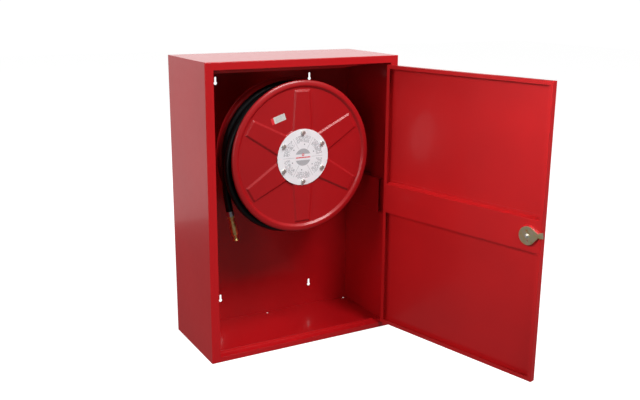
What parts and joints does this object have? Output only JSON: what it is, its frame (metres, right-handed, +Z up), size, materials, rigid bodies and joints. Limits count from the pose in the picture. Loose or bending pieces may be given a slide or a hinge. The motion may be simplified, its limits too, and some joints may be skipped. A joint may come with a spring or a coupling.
{
  "type": "fire hose reel cabinet",
  "caption": "Red sheet-steel wall cabinet with a hinged door and turn lock, holding a spoked hose reel on a spindle with a stop valve, wound rubber hose and brass nozzle.",
  "frame": {"origin": "middle of the cabinet's base, on its underside, halfway between its front flange and its back", "axes": "+Z up, +Y into the wall (the door side faces -Y), +X to the right seen from the front, the side the door is hinged on; the stored rest pose has the door 103 degrees open, as pictured"},
  "size_m": [0.8887, 1.04, 1.05],
  "materials": {
    "red_powder_coat": "satin powder coat, bright signal red",
    "bright_zinc": "bright zinc plate",
    "yellow_zinc": "yellow passivated zinc plate",
    "bright_steel": "machined steel",
    "chromed_die_cast": "polished chrome plate",
    "brass": "machined brass",
    "nickel_brass": "nickel plated brass",
    "aluminium": "plain turned aluminium",
    "black_rubber": "black synthetic rubber",
    "white_label": "white printed label plate",
    "red_plastic": "dipped red vinyl",
    "white_seal": "turned PTFE"
  },
  "bodies": {
    "cabinet": {"left_side_panel": "red_powder_coat", "right_side_panel": "red_powder_coat", "top_panel": "red_powder_coat", "base_panel": "red_powder_coat", "back_panel": "red_powder_coat", "wall_channel": "red_powder_coat", "hinge_frame_leaves": "red_powder_coat", "hinge_pins": "bright_zinc", "reel_bracket": "red_powder_coat", "bracket_studs": "bright_zinc", "bracket_washers": "bright_zinc", "bracket_nuts": "bright_zinc", "spindle": "bright_steel", "spindle_nut": "bright_zinc", "friction_washer": "bright_steel", "spindle_seals": "black_rubber", "retaining_ring": "bright_steel", "valve_body": "nickel_brass", "valve_seats": "white_seal", "packing_nut": "nickel_brass", "hose_tail": "black_rubber", "tail_ferrule": "aluminium", "nozzle_body": "brass", "nozzle_seal": "black_rubber"},
    "door": {"door_panel": "red_powder_coat", "door_stiffener": "red_powder_coat", "hinge_door_leaves": "red_powder_coat", "lock_boss": "red_powder_coat", "lock_bezel": "chromed_die_cast", "lock_barrel": "chromed_die_cast", "lock_barrel_nut": "chromed_die_cast"},
    "lock": {"lock_knob": "chromed_die_cast", "lock_shaft": "bright_steel", "lock_cam": "yellow_zinc", "cam_washer": "bright_zinc", "cam_screw": "bright_zinc"},
    "reel": {"front_disc": "red_powder_coat", "rear_disc": "red_powder_coat", "drum": "red_powder_coat", "hub": "aluminium", "hub_bushes": "brass", "hub_screws": "bright_zinc", "outlet_pipe": "bright_zinc", "drum_outlet": "bright_zinc", "outlet_ferrule": "aluminium", "label_plate": "white_label", "disc_sticker": "white_label", "tie_bolts": "bright_zinc", "tie_washers": "bright_zinc", "tie_nuts": "bright_zinc", "hose_coil": "black_rubber"},
    "nozzle_barrel": {"nozzle_barrel": "brass", "nozzle_tip": "brass"},
    "valve_lever": {"valve_lever": "bright_zinc", "lever_grip": "red_plastic", "lever_nut": "bright_zinc", "valve_stem": "bright_steel", "valve_ball": "nickel_brass"}
  },
  "joints": [
    {"name": "door_hinge", "type": "hinge", "parent": "cabinet", "child": "door", "pos_m": [0.3435, -0.1788, 0.525], "axis": [0, 0, 1], "range_deg": [-103, 77]},
    {"name": "lock_turn", "type": "hinge", "parent": "door", "child": "lock", "pos_m": [0.48365, -0.80276, 0.525], "axis": [-0.9744, -0.225, 0], "range_deg": [-10, 80]},
    {"name": "reel_spin", "type": "hinge", "parent": "cabinet", "child": "reel", "pos_m": [0, -0.068, 0.702], "axis": [0, 1, 0], "continuous": true},
    {"name": "nozzle_twist", "type": "hinge", "parent": "cabinet", "child": "nozzle_barrel", "pos_m": [-0.22987, -0.031, 0.46779], "axis": [0.1984, 0, -0.9801], "range_deg": [0, 180]},
    {"name": "valve_lever_turn", "type": "hinge", "parent": "cabinet", "child": "valve_lever", "pos_m": [0, 0.12, 0.702], "axis": [0, 0, 1], "range_deg": [-90, 0]}
  ]
}
